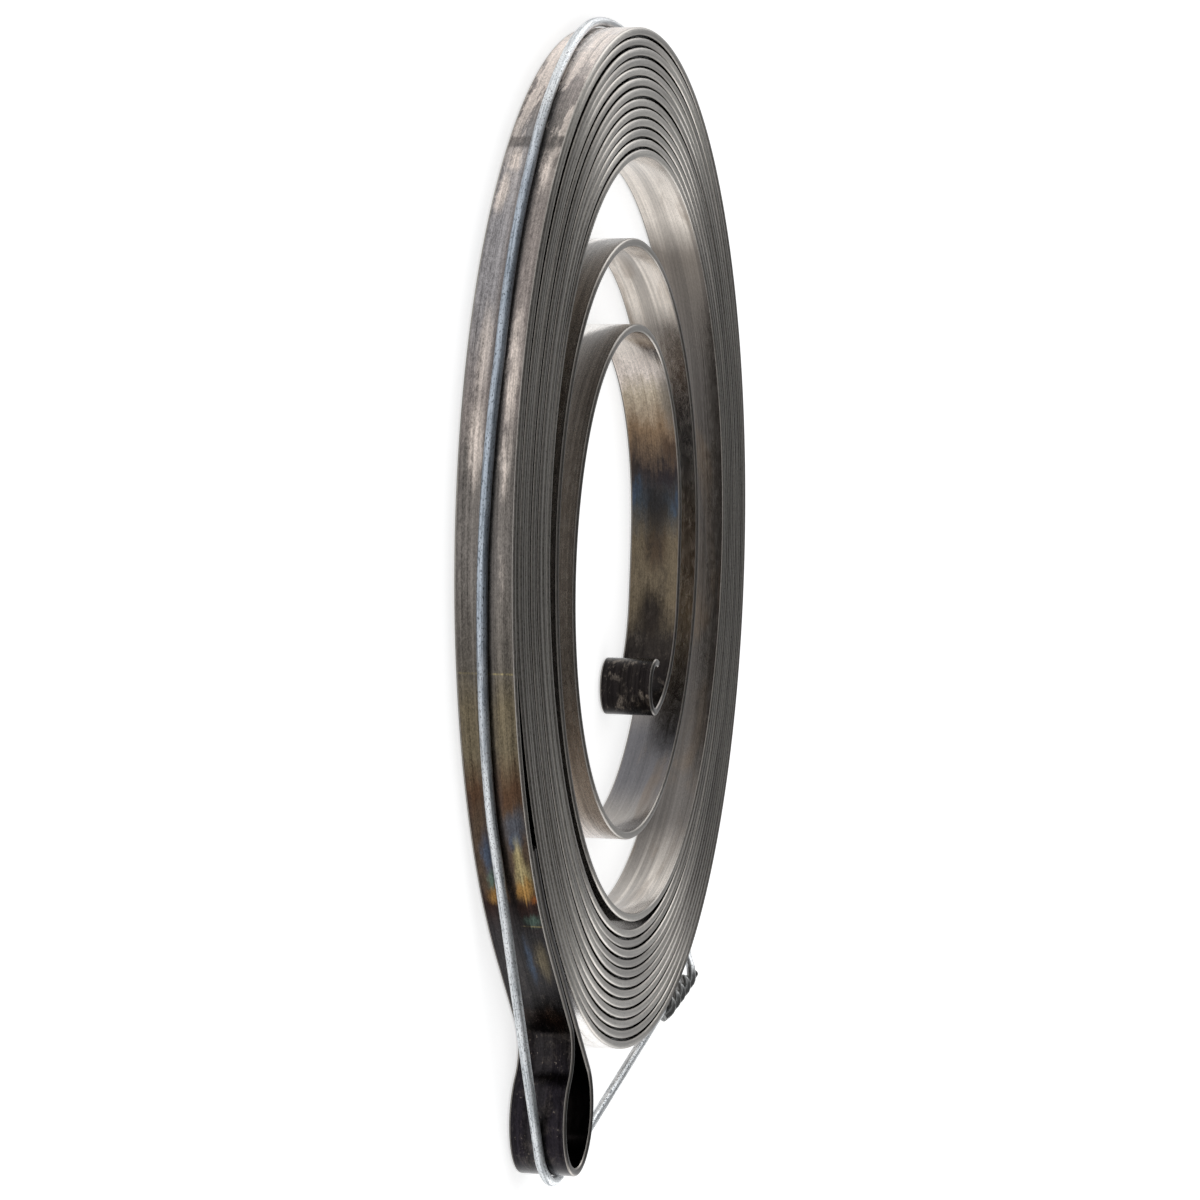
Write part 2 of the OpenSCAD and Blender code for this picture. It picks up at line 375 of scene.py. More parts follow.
class Shader:
    """The nodes of a material or a world, built one call at a time."""

    def __init__(self, owner):
        owner.use_nodes = True
        self.owner = owner
        self.tree = owner.node_tree
        self.tree.nodes.clear()

    def put(self, socket, value):
        if isinstance(value, bpy.types.NodeSocket):
            self.tree.links.new(value, socket)
        elif socket.type == "RGBA" and len(value) == 3:
            socket.default_value = (*value, 1.0)
        else:
            socket.default_value = value

    def node(self, kind, inputs=None, **settings):
        n = self.tree.nodes.new(kind)
        for key, value in settings.items():
            setattr(n, key, value)
        for key, value in (inputs or {}).items():
            self.put(n.inputs[key], value)
        return n

    def math(self, operation, values):
        total = values[0]
        for value in values[1:]:
            total = self.node("ShaderNodeMath", {0: total, 1: value}, operation=operation).outputs[0]
        return total

    def plus(self, *values):
        return self.math("ADD", values)

    def minus(self, *values):
        return self.math("SUBTRACT", values)

    def times(self, *values):
        return self.math("MULTIPLY", values)

    def most(self, *values):
        return self.math("MAXIMUM", values)

    def attribute(self, name, output="Vector"):
        return self.node("ShaderNodeAttribute", attribute_name=name).outputs[output]

    def parts(self, vector):
        return self.node("ShaderNodeSeparateXYZ", {0: vector}).outputs

    def stretch(self, vector, scale, offset):
        inputs = {"Vector": vector, "Scale": scale, "Location": offset}
        return self.node("ShaderNodeMapping", inputs).outputs[0]

    def noise(self, vector, scale, detail, rough, twist=0.0, offset=(0.0, 0.0, 0.0)):
        inputs = {"Vector": self.stretch(vector, scale, offset), "Scale": 1.0, "Detail": detail}
        inputs.update({"Roughness": rough, "Distortion": twist})
        return self.node("ShaderNodeTexNoise", inputs).outputs["Fac"]

    def band(self, value, low, high, to_low=0.0, to_high=1.0):
        """A soft step between two values, from low to high of what is read."""
        inputs = {"Value": value, "From Min": low, "From Max": high, "To Min": to_low, "To Max": to_high}
        n = self.node("ShaderNodeMapRange", inputs, interpolation_type="SMOOTHSTEP", clamp=True)
        return n.outputs[0]

    def zone(self, value, start, end, soft):
        """One between start and end of a value, with soft sides."""
        rise = self.band(value, start - soft, start + soft)
        return self.times(rise, self.band(value, end - soft, end + soft, 1.0, 0.0))

    def ramp(self, value, stops):
        """Colours by place, from the first stop to the last."""
        low, high = stops[0][0], stops[-1][0]
        inputs = {"Value": value, "From Min": low, "From Max": high}
        share = self.node("ShaderNodeMapRange", inputs, clamp=True).outputs[0]
        n = self.node("ShaderNodeValToRGB", {"Fac": share})
        elements = n.color_ramp.elements
        while len(elements) < len(stops):
            elements.new(1.0)
        for element, (place, colour) in zip(elements, stops):
            element.position = (place - low) / (high - low)
            element.color = (*colour, 1.0)
        return n.outputs["Color"]

    def mix(self, amount, a, b, blend="MIX"):
        n = self.node("ShaderNodeMix", data_type="RGBA", blend_type=blend)
        self.put(n.inputs["Factor"], amount)
        self.put(n.inputs[6], a)
        self.put(n.inputs[7], b)
        return n.outputs[2]

    def mix_value(self, amount, a, b):
        n = self.node("ShaderNodeMix", data_type="FLOAT")
        self.put(n.inputs["Factor"], amount)
        self.put(n.inputs[2], a)
        self.put(n.inputs[3], b)
        return n.outputs[0]

    def scaled(self, colour, factor):
        grey = self.node("ShaderNodeCombineColor", {0: factor, 1: factor, 2: factor}).outputs[0]
        return self.mix(1.0, colour, grey, "MULTIPLY")

    def smudge(self, at, s, z, length, width, amount):
        """A soft oval mark around (s, z)."""
        near = self.stretch(at, (1 / length, 1 / width, 0.0), (-s / length, -z / width, 0.0))
        gap = self.node("ShaderNodeVectorMath", {0: near}, operation="LENGTH").outputs["Value"]
        return self.band(gap, SMUDGE_CORE, 1.0, amount, 0.0)

    def metal(self, colour, roughness, height, depth, **settings):
        bump = self.node("ShaderNodeBump", {"Strength": 1.0, "Distance": depth, "Height": height})
        inputs = {"Base Color": colour, "Roughness": roughness, "Normal": bump.outputs[0], "Metallic": 1.0}
        shader = self.node("ShaderNodeBsdfPrincipled", {**inputs, **settings})
        return self.end("ShaderNodeOutputMaterial", shader)

    def end(self, kind, shader):
        out = self.node(kind)
        self.tree.links.new(shader.outputs[0], out.inputs["Surface"])
        return self.owner


SMUDGE_CORE = 0.2


def tone(r, g, b):
    """A linear colour from the red, green and blue that a screen shows."""
    return tuple(((c / 255 + 0.055) / 1.055) ** 2.4 for c in (r, g, b))


GREY = tone(112, 107, 103)
DARK_GREY = tone(92, 87, 81)
WARM_GREY = tone(134, 126, 122)
# pale colour of a painted reflection where faces are seen at a glancing angle
PALE_SHEEN = tone(204, 194, 187)
PINK_BEIGE = tone(214, 202, 193)
BLUE_GREY = tone(146, 146, 150)
LOOSE_GREY = tone(136, 131, 126)
LOOSE_TAN = tone(172, 162, 152)
# painted shade of the inner faces, darkest in the middle of the far side
FAR_SHADE_GREY = tone(114, 110, 107)
FAR_HALF_SHADE = tone(157, 151, 145)
FAR_SHADE_WARM = tone(122, 115, 108)
FAR_SHADE_SLATE = tone(112, 111, 114)
# white of painted reflections and painted glare
GLARE_WHITE = tone(238, 234, 230)
# painted reflection of the inner faces
INNER_SHEEN = tone(220, 212, 203)
STAIN = tone(74, 70, 68)
SCUFF = tone(128, 119, 110)
OLIVE = tone(102, 93, 76)
OLIVE_GREY = tone(96, 90, 81)
STRAW = tone(146, 134, 98)
GOLD = tone(146, 110, 60)
BROWN = tone(78, 65, 54)
EMBER = tone(78, 57, 43)
RUST = tone(142, 86, 44)
MAROON = tone(46, 31, 27)
SLATE = tone(72, 76, 84)
BLUE = tone(62, 76, 95)
TEAL = tone(82, 104, 94)
CHARCOAL = tone(50, 48, 49)
BLACK = tone(34, 31, 31)
PURPLE_BLACK = tone(36, 33, 38)
DUSK = tone(84, 80, 77)
UMBER_SHADE = tone(126, 112, 98)
HOOK_BLACK = tone(37, 33, 31)
HOOK_DARK = tone(50, 46, 43)
HOOK_OLIVE = tone(100, 90, 75)
HOOK_SLATE = tone(60, 66, 72)
HOOK_DUSK = tone(55, 50, 50)
HOOK_TAN = tone(120, 100, 80)
HOOK_STRAW = tone(175, 163, 145)

# noises of the rolled faces: scale along, up and through, detail, roughness, then distortion and offset
WALL_NOISES = {
    "streak": ((0.016, 2.4, 1.0), 6.0, 0.62),
    "hair": ((0.08, 9.0, 1.0), 3.0, 0.6),
    "cloud": ((0.09, 0.40, 1.0), 6.0, 0.6, 0.5),
    "patch": ((0.10, 0.5, 1.0), 6.0, 0.6, 0.3, (3.0, 3.0, 1.0)),
    "mottle": ((0.8, 2.0, 1.0), 7.0, 0.72, 0.2),
    "grain": ((4.0, 8.0, 1.0), 4.0, 0.65),
    "rubs": ((0.5, 0.7, 1.0), 5.0, 0.65, 0.6, (7.0, 2.0, 0.0)),
    "broad": ((0.007, 0.75, 1.0), 3.0, 0.5, 0.0, (5.0, 1.0, 0.0)),
    "veil": ((0.05, 0.3, 1.0), 4.0, 0.55, 0.6, (2.0, 6.0, 0.0)),
    "blot": ((0.22, 0.55, 1.0), 6.0, 0.65, 0.8, (1.0, 4.0, 0.0)),
    "flecks": ((2.4, 2.4, 1.0), 2.0, 0.5, 0.0, (1.0, 8.0, 0.0)),
}
# how far the noises move the borders of the tints, in millimetres
DRIFT, COMB, RUFFLE = 5.0, 3.0, 1.4
LOOSE_DRIFT, HOOK_COMB, HOOK_RUFFLE, STAIN_DRIFT = 0.8, 1.5, 5.0, 0.1

# colours along the strip: outer face of the first turn, outer and inner face of the loose turns, hook;
# their pale stops are painted reflections, and the greys of the inner faces painted shade
OUTER_TONES = (
    (-150.0, BLACK), (-72.0, PURPLE_BLACK), (-66.0, BLACK), (-58.0, CHARCOAL), (-47.0, CHARCOAL),
    (-42.2, MAROON), (-40.0, BROWN), (-31.0, BROWN), (-27.5, EMBER), (-23.0, OLIVE), (-18.0, OLIVE),
    (-14.3, OLIVE_GREY), (-13.8, DARK_GREY), (-2.0, GREY), (8.0, GREY), (14.0, WARM_GREY),
    (34.0, WARM_GREY), (50.0, GREY), (60.0, WARM_GREY), (72.0, PALE_SHEEN), (96.0, PALE_SHEEN),
    (110.0, WARM_GREY),
)
# the pale stops of the loose turns' outer faces are painted reflection
LOOSE_TONES = (
    (290.0, LOOSE_GREY), (300.0, LOOSE_GREY), (312.0, PALE_SHEEN), (324.0, PALE_SHEEN),
    (334.0, LOOSE_TAN), (343.0, LOOSE_TAN), (354.0, LOOSE_GREY), (360.0, LOOSE_GREY),
)
# inner faces: the pale stops are painted reflection at the tops and bottoms of the coil, the greys between
# them painted shade
INNER_TONES = (
    (-100.0, INNER_SHEEN), (-52.0, INNER_SHEEN), (-44.5, FAR_SHADE_WARM), (-24.0, FAR_SHADE_GREY), (44.0, FAR_SHADE_GREY),
    (60.0, INNER_SHEEN), (222.5, INNER_SHEEN), (228.5, FAR_HALF_SHADE), (236.0, INNER_SHEEN),
    (270.0, INNER_SHEEN), (280.0, FAR_HALF_SHADE), (288.0, FAR_SHADE_SLATE), (298.0, FAR_SHADE_SLATE),
    (308.0, FAR_HALF_SHADE), (326.0, FAR_HALF_SHADE), (340.0, INNER_SHEEN),
)
# the pale stops towards the loose turn are painted reflection
HOOK_TONES = (
    (0.0, BLACK), (20.0, BLACK), (25.0, HOOK_DARK), (30.0, HOOK_OLIVE), (38.0, HOOK_OLIVE),
    (43.0, HOOK_SLATE), (47.0, HOOK_DUSK), (53.0, HOOK_TAN), (59.0, HOOK_STRAW), (63.0, PALE_SHEEN),
    (90.0, PALE_SHEEN),
)

# heat tints of the outer face: place along, height, half length, half width, colour, strength
TINTS = (
    (-32.0, 5.2, 3.2, 2.2, SLATE, 0.85),
    (-34.2, 5.0, 2.0, 1.1, BLUE, 0.85),
    (-36.0, 5.1, 3.6, 0.8, STRAW, 0.85),
    (-38.8, 5.4, 2.8, 1.4, STRAW, 0.9),
    (-40.2, 5.2, 1.9, 1.7, GOLD, 0.85),
    (-41.6, 6.2, 0.8, 0.7, RUST, 0.8),
    (-44.6, 5.5, 1.3, 1.7, TEAL, 0.6),
    (-52.0, 4.0, 6.0, 0.6, BLUE, 0.9),
    (-52.0, 5.5, 5.4, 1.1, OLIVE, 0.95),
    (-63.0, 4.4, 2.8, 4.0, EMBER, 0.8),
    (-36.0, 1.8, 4.0, 1.2, BLUE, 0.8),
    (-39.4, 2.0, 2.0, 1.2, TEAL, 0.75),
    (-41.4, 2.2, 1.8, 1.6, GOLD, 0.85),
)
# the same for the hook, with the place counted from its end
HOOK_MARKS = (
    (28.4, 3.2, 5.6, 2.7, HOOK_BLACK, 0.95),
    (36.8, 3.5, 4.0, 2.2, MAROON, 0.6),
    (42.0, 3.5, 6.4, 2.5, HOOK_BLACK, 0.8),
    (43.2, 6.1, 2.0, 0.9, BLUE, 0.5),
    (44.4, 0.8, 1.7, 1.0, BLUE, 0.55),
    (47.2, 5.0, 2.0, 2.2, PURPLE_BLACK, 0.55),
    (50.4, 5.6, 2.6, 1.4, MAROON, 0.5),
    (58.0, 6.4, 9.0, 2.0, DUSK, 0.7),
)
# bright rubbed marks of the outer face: place along, height, half length, half width, strength
RUBS = (
    (45.2, 1.7, 2.8, 1.5, 0.9),
    (40.5, 1.0, 4.0, 1.0, 0.8),
    (43.8, 5.2, 4.4, 1.0, 0.85),
    (19.0, 5.4, 9.0, 1.1, 0.9),
    (8.0, 5.3, 5.5, 1.0, 0.8),
    (-4.0, 5.3, 3.4, 0.5, 0.4),
    (20.0, 2.0, 8.0, 1.0, 0.6),
    (10.5, 1.9, 6.0, 1.1, 0.8),
)

# bands are given as low, high and the values there; zones as start, end and softness
INNER_FACE = (-0.1, 0.1, 1.0, 0.0)
FIRST_END = (FIRST_TURN - 5.0, FIRST_TURN + 5.0, 1.0, 0.0)
NEAR_HOOK = (60.0, 76.0, 1.0, 0.0)
# outer face: cool lower half, a painted white reflection further along the first turn, and painted shade
# and painted glare on the tops of the loose turns
COOL_ZONE, COOL_HEIGHT = (20.0, 50.0, 8.0), (2.2, 3.4, 0.6, 0.0)
GLARE_FROM = (230.0, 320.0)
DIM_SHADE_ZONES, DIM_SHADE_AMOUNT = ((172.0, 210.0, 8.0), (382.0, 420.0, 8.0)), 0.8
GLARE_ZONES, GLARE_LEAN = ((188.0, 214.0, 2.5), (398.0, 424.0, 2.5)), 2.1
# painted shadow along the wire, whose height rises and then drops, and painted shade along both margins
WIRE_RISES, WIRE_DROPS = (-35.0, 15.0, 3.0, 3.95), (40.0, 90.0, 0.0, 2.0)
WIRE_SHADOW_WIDTH, WIRE_SHADOW_END = (0.7, 1.5, 0.5, 0.0), (60.0, 100.0, 1.0, 0.0)
LOW_MARGIN_SHADE, HIGH_MARGIN_SHADE = (0.2, 0.9, 0.4, 0.0), (6.0, 6.6, 0.0, 0.4)
# inner face: long dark lines and a brown veil, both painted shade; hook: dark blots
SHADE_LINES, SHADE_LINES_END = (0.42, 0.66, 0.0, 0.6), (215.0, 240.0, 1.0, 0.2)
VEIL_SHADE = (0.48, 0.66, 0.0, 0.55)
BLOTTED, BLOT_END = (0.50, 0.64, 0.0, 0.45), (44.0, 58.0, 1.0, 0.2)
# rubbed patches, which gather in one zone
RAGGED = 0.22
GATHER_ZONE, GATHER = (60.0, 84.0, 10.0), 0.07
RUB_ZONE, RUB_PATCH = (47.0, 200.0, 13.0), (0.50, 0.57, 0.0, 0.7)
RUB_BREAKS = (0.42, 0.54, 0.15, 1.0)
# scuffs and flecks on the black ends
BLACK_LOOP, BLACK_HOOK = (-62.0, -50.0, 1.0, 0.0), (20.0, 40.0, 1.0, 0.0)
SCUFF_SPOTS, SCUFF_BREAKS = (0.50, 0.66, 0.0, 0.75), (0.36, 0.6, 0.35, 1.0)
SCUFF_TIP = (14.0, 20.0, 1.0, 0.2)
FLECK_SPOTS, FLECK_END = (0.68, 0.74, 0.0, 0.6), (-50.0, -40.0, 1.0, 0.0)
# stain across the strip and two scored lines
STAIN_ZONE, STAIN_AMOUNT = (47.4, 49.2, 0.3), 0.65
SCORE, LOW_SCORE, LOW_SCORE_FROM = (-14.4, -14.2, 0.06), (-46.1, -45.9, 0.06), (3.8, 4.4)
SCORE_BREAKS = (0.4, 0.6, 0.1, 0.7)
# faces that lie between turns, painted black as shade
COVERED_FROM = (FIRST_TURN - 58.0, FIRST_TURN - 46.0)
COVERED_TO = (LOOSE_START + 10.0, LOOSE_START + 50.0, 1.0, 0.0)
COVERED_IN = (LOOSE_START - 260.0, LOOSE_START - 200.0, 1.0, 0.0)
# light and dark of the noises, and how busy they are on each face
BUSY_FIRST, BUSY_LOOSE, BUSY_INNER, BUSY_HOOK = 0.8, 0.16, 0.3, 0.6
LINED_INNER = 0.4
MOTTLE_SHADE, GRAIN_SHADE = (0.28, 0.72, -0.26, 0.26), (0.32, 0.68, -0.34, 0.34)
STREAK_SHADE, HAIR_SHADE = (0.3, 0.7, -0.34, 0.34), (0.3, 0.7, -0.18, 0.18)
# roughness and relief
ROUGH_FIRST, ROUGH_LOOSE, ROUGH_INNER, ROUGH_RUBBED = 0.24, 0.25, 0.16, 0.14
ROUGH_MOTTLE = (0.3, 0.7, -0.04, 0.06)
WALL_RELIEF = {"streak": 0.5, "hair": 0.3, "mottle": 0.4, "grain": 0.2}
WALL_DEPTH = 0.012 * MM
WALL_BRUSHED = 0.5


def strip_places(sh):
    """Places on the unrolled strip in millimetres: along, across, through, and from the hook's end."""
    at = sh.attribute("unrolled")
    along, across, depth = sh.parts(at)
    to_hook = sh.minus(HOOK_END, along)
    return SimpleNamespace(at=at, along=along, across=across, depth=depth, to_hook=to_hook)


def wall_places(sh):
    """The places and noises that the colours of the rolled faces share."""
    w = strip_places(sh)
    for name, row in WALL_NOISES.items():
        setattr(w, name, sh.noise(w.at, *row))
    w.inner = sh.band(w.depth, *INNER_FACE)
    w.outer = sh.minus(1.0, w.inner)
    w.first = sh.band(w.along, *FIRST_END)
    w.near_hook = sh.band(w.to_hook, *NEAR_HOOK)
    w.drift = sh.times(sh.minus(w.cloud, 0.5), DRIFT)
    w.comb = sh.times(sh.minus(w.streak, 0.5), COMB)
    w.ruffle = sh.minus(w.mottle, 0.5)
    w.place = sh.plus(w.along, w.drift, w.comb)
    w.height = sh.plus(w.across, sh.times(w.ruffle, RUFFLE))
    w.spot = sh.node("ShaderNodeCombineXYZ", {0: w.place, 1: w.height}).outputs[0]
    w.from_loose = sh.plus(sh.minus(w.along, LOOSE_START), sh.times(w.drift, LOOSE_DRIFT))
    return w


def outer_face(sh, w):
    colour = sh.ramp(w.place, OUTER_TONES)
    cool = sh.times(sh.zone(w.along, *COOL_ZONE), sh.band(w.across, *COOL_HEIGHT))
    colour = sh.mix(cool, colour, BLUE_GREY)
    # painted white reflection on the first turn's outer face from here on
    colour = sh.mix(sh.band(w.along, *GLARE_FROM), colour, GLARE_WHITE)

    loose = sh.ramp(w.from_loose, LOOSE_TONES)
    # painted shade on the tops of the loose turns
    dim_shade = sh.most(*[sh.zone(w.from_loose, *zone) for zone in DIM_SHADE_ZONES])
    loose = sh.mix(sh.times(dim_shade, DIM_SHADE_AMOUNT), loose, DUSK)
    # painted glare: slanting white reflections on the tops of the loose turns
    lean = sh.minus(w.from_loose, sh.times(w.height, GLARE_LEAN))
    glare = sh.most(*[sh.zone(lean, *zone) for zone in GLARE_ZONES])
    loose = sh.mix(glare, loose, GLARE_WHITE)

    colour = sh.mix(w.first, loose, colour)
    for *mark, mark_colour, amount in TINTS:
        colour = sh.mix(sh.smudge(w.spot, *mark, amount), colour, mark_colour)

    # painted shadow of the wire on the outer face
    wire_height = sh.minus(sh.band(w.along, *WIRE_RISES), sh.band(w.along, *WIRE_DROPS))
    gap = sh.minus(w.height, wire_height)
    off_wire = sh.node("ShaderNodeMath", {0: gap}, operation="ABSOLUTE").outputs[0]
    wire_shadow = sh.times(sh.band(off_wire, *WIRE_SHADOW_WIDTH), sh.band(w.along, *WIRE_SHADOW_END))
    # painted shade along both margins, next to the gaps between turns
    margin_shade = sh.most(sh.band(w.height, *LOW_MARGIN_SHADE), sh.band(w.height, *HIGH_MARGIN_SHADE))
    return sh.mix(sh.most(wire_shadow, margin_shade), colour, CHARCOAL)


def inner_face(sh, w):
    # painted reflection and painted shade by place along the inner faces
    colour = sh.ramp(w.from_loose, INNER_TONES)
    # painted shade: long dark lines and a brown veil on the inner face
    lined = sh.times(sh.band(w.broad, *SHADE_LINES), sh.band(w.from_loose, *SHADE_LINES_END))
    colour = sh.mix(lined, colour, DUSK)
    return sh.mix(sh.band(w.veil, *VEIL_SHADE), colour, UMBER_SHADE)


def hook_face(sh, w):
    place = sh.plus(w.to_hook, w.drift, sh.times(w.comb, HOOK_COMB), sh.times(w.ruffle, HOOK_RUFFLE))
    colour = sh.ramp(place, HOOK_TONES)
    spot = sh.node("ShaderNodeCombineXYZ", {0: place, 1: w.height}).outputs[0]
    for *mark, mark_colour, amount in HOOK_MARKS:
        colour = sh.mix(sh.smudge(spot, *mark, amount), colour, mark_colour)
    blotted = sh.times(sh.band(w.blot, *BLOTTED), sh.band(w.to_hook, *BLOT_END))
    return sh.mix(blotted, colour, HOOK_DARK)


def rubbed_marks(sh, w):
    """How far the outer face of the first turn is rubbed bright."""
    ragged = sh.plus(w.patch, sh.times(w.ruffle, RAGGED))
    gathered = sh.plus(ragged, sh.times(sh.zone(w.along, *GATHER_ZONE), GATHER))
    rubbed = sh.times(sh.zone(w.along, *RUB_ZONE), sh.band(gathered, *RUB_PATCH))
    breaks = sh.band(ragged, *RUB_BREAKS)
    for row in RUBS:
        rubbed = sh.most(rubbed, sh.times(sh.smudge(w.spot, *row), breaks))
    return sh.times(rubbed, w.first, w.outer)


def scuffs(sh, w):
    """Pale scuffs and flecks on the black ends of the strip."""
    scuff = sh.times(sh.band(w.rubs, *SCUFF_SPOTS), sh.band(w.grain, *SCUFF_BREAKS))
    scuff = sh.times(scuff, sh.band(w.to_hook, *SCUFF_TIP))
    flecked = sh.times(sh.band(w.flecks, *FLECK_SPOTS), sh.band(w.along, *FLECK_END))
    black = sh.most(sh.band(w.along, *BLACK_LOOP), sh.band(w.to_hook, *BLACK_HOOK))
    return sh.times(sh.most(scuff, flecked), black)


def scores(sh, w):
    """Two thin lines scored across the outer face."""
    low = sh.times(sh.zone(w.along, *LOW_SCORE), sh.band(w.across, *LOW_SCORE_FROM))
    score = sh.most(sh.zone(w.along, *SCORE), low)
    return sh.times(score, sh.band(w.mottle, *SCORE_BREAKS), w.outer)


def wall_shade(sh, w):
    """Light and dark of the noises, around one."""
    outer_busy = sh.mix_value(w.first, BUSY_LOOSE, BUSY_FIRST)
    busy = sh.mix_value(w.inner, outer_busy, sh.mix_value(w.near_hook, BUSY_INNER, BUSY_HOOK))
    lined = sh.mix_value(w.inner, 1.0, LINED_INNER)
    spotted = sh.plus(sh.band(w.mottle, *MOTTLE_SHADE), sh.band(w.grain, *GRAIN_SHADE))
    drawn = sh.plus(sh.band(w.streak, *STREAK_SHADE), sh.band(w.hair, *HAIR_SHADE))
    return sh.plus(sh.times(spotted, busy), sh.times(drawn, lined), 1.0)


def wall_material():
    """The rolled faces: grey steel, heat tints towards loop and hook, rubbed spots and stains, painted
    reflections and glare, and painted shade between turns and on the inner faces.
    """
    sh = Shader(bpy.data.materials.new("tempered_strip_face"))
    w = wall_places(sh)
    colour = sh.mix(w.inner, outer_face(sh, w), inner_face(sh, w))
    colour = sh.mix(w.near_hook, colour, hook_face(sh, w))
    rubbed = rubbed_marks(sh, w)
    colour = sh.mix(rubbed, colour, PINK_BEIGE)
    colour = sh.mix(scuffs(sh, w), colour, SCUFF)
    stain = sh.zone(sh.plus(w.along, sh.times(w.drift, STAIN_DRIFT)), *STAIN_ZONE)
    colour = sh.mix(sh.times(stain, w.outer, STAIN_AMOUNT), colour, STAIN)
    colour = sh.mix(scores(sh, w), colour, STRAW)
    # painted shade: faces hidden between turns are made black
    covered_out_shade = sh.times(sh.band(w.along, *COVERED_FROM), sh.band(w.along, *COVERED_TO))
    covered_shade = sh.mix_value(w.inner, covered_out_shade, sh.band(w.along, *COVERED_IN))
    colour = sh.mix(covered_shade, colour, BLACK)
    colour = sh.scaled(colour, wall_shade(sh, w))

    polish = sh.mix_value(w.inner, sh.mix_value(w.first, ROUGH_LOOSE, ROUGH_FIRST), ROUGH_INNER)
    rough = sh.plus(polish, sh.band(w.mottle, *ROUGH_MOTTLE), sh.times(rubbed, ROUGH_RUBBED))
    relief = sh.plus(*[sh.times(getattr(w, name), share) for name, share in WALL_RELIEF.items()])
    upward = sh.node("ShaderNodeCombineXYZ", {2: 1.0}).outputs[0]
    return sh.metal(colour, rough, relief, WALL_DEPTH, Anisotropic=WALL_BRUSHED, Tangent=upward)


EDGE_TINT = (0.65, 0.65, 0.65)
EDGE_DARK = tone(120, 117, 113)
EDGE_LIGHT = tone(150, 147, 142)
EDGE_WORN_GLINT = tone(212, 206, 199)
EDGE_LINES = ((0.05, 1.0, 9.0), 5.0, 0.65)
EDGE_CLOUD = ((0.02, 0.5, 0.5), 5.0, 0.6)
EDGE_GRAIN = ((3.5, 1.0, 5.0), 5.0, 0.7)
EDGE_PATCHES = (0.38, 0.62)
EDGE_DUSK = (LOOSE_START + 80.0, LOOSE_START + 150.0, 0.0, 0.6)
EDGE_BURNT_LOOP, EDGE_BURNT_HOOK, EDGE_BURNT = (-60.0, -30.0, 1.0, 0.0), (20.0, 50.0, 1.0, 0.0), 0.85
EDGE_LINE_SHADE, EDGE_GRAIN_SHADE = (0.3, 0.7, 0.78, 1.22), (0.3, 0.7, -0.4, 0.4)
EDGE_GLINT_RUBBED = (0.35, 0.65, 0.2, 0.55)
EDGE_ROUGH, EDGE_ROUGH_GRAIN = 0.33, (0.3, 0.7, -0.06, 0.08)
EDGE_LINE_RELIEF, EDGE_GRAIN_RELIEF = 0.8, 0.4
EDGE_DEPTH = 0.014 * MM
EDGE_BRUSHED = 0.75


def edge_material():
    """The narrow slit edges: satin grey with fine lengthwise lines, and bright corners that are partly
    rubbed and partly a painted highlight.
    """
    sh = Shader(bpy.data.materials.new("slit_strip_edge"))
    w = strip_places(sh)
    lines = sh.noise(w.at, *EDGE_LINES)
    cloud = sh.noise(w.at, *EDGE_CLOUD)
    grain = sh.noise(w.at, *EDGE_GRAIN)
    colour = sh.mix(sh.band(cloud, *EDGE_PATCHES), EDGE_DARK, EDGE_LIGHT)
    colour = sh.mix(sh.band(w.along, *EDGE_DUSK), colour, DUSK)
    burnt = sh.most(sh.band(w.along, *EDGE_BURNT_LOOP), sh.band(w.to_hook, *EDGE_BURNT_HOOK))
    colour = sh.mix(sh.times(burnt, EDGE_BURNT), colour, CHARCOAL)
    shade = sh.plus(sh.band(lines, *EDGE_LINE_SHADE), sh.band(grain, *EDGE_GRAIN_SHADE))
    colour = sh.scaled(colour, shade)
    # the bright corners are partly rubbed metal and partly a painted highlight
    rubbed = sh.times(sh.attribute("worn_glint", "Fac"), sh.band(cloud, *EDGE_GLINT_RUBBED))
    colour = sh.mix(rubbed, colour, EDGE_WORN_GLINT)
    rough = sh.plus(EDGE_ROUGH, sh.band(grain, *EDGE_ROUGH_GRAIN))
    relief = sh.plus(sh.times(lines, EDGE_LINE_RELIEF), sh.times(grain, EDGE_GRAIN_RELIEF))
    finish = {"Specular Tint": EDGE_TINT, "Anisotropic": EDGE_BRUSHED, "Tangent": sh.attribute("crossway")}
    return sh.metal(colour, rough, relief, EDGE_DEPTH, **finish)


ZINC = tone(224, 228, 231)
ZINC_DARK = tone(152, 158, 163)
ZINC_BRIGHT = tone(244, 246, 247)
ZINC_PIT = tone(84, 88, 93)
ZINC_TWIST_DARK = tone(104, 103, 100)
ZINC_DRAWN = ((0.12, 5.0, 5.0), 5.0, 0.65)
ZINC_CLOUD = ((0.35, 1.2, 1.2), 4.0, 0.6)
ZINC_SPOTS = ((3.2, 7.0, 7.0), 3.0, 0.6)
DRAWN_LINES, BRIGHT_CLOUDS, PITTED = (0.36, 0.58), (0.4, 0.7, 0.0, 0.6), (0.54, 0.65)
PIT_AMOUNT, PIT_RELIEF = 0.85, 0.7
# parts of the belt that are darker: near side and top of the coil, by the way along the wire
SHADES = (((132.0, 198.0, 12.0), (0.62, 0.67, 0.74)), ((238.0, 276.0, 14.0), (0.42, 0.42, 0.43)))
TWIST_FULL, TWIST_END, TWIST_AMOUNT = 12.0, 17.0, 0.75
WIRE_ROUGH, WIRE_ROUGH_CLOUD = 0.36, (0.3, 0.7, -0.05, 0.1)
WIRE_DEPTH = 0.02 * MM


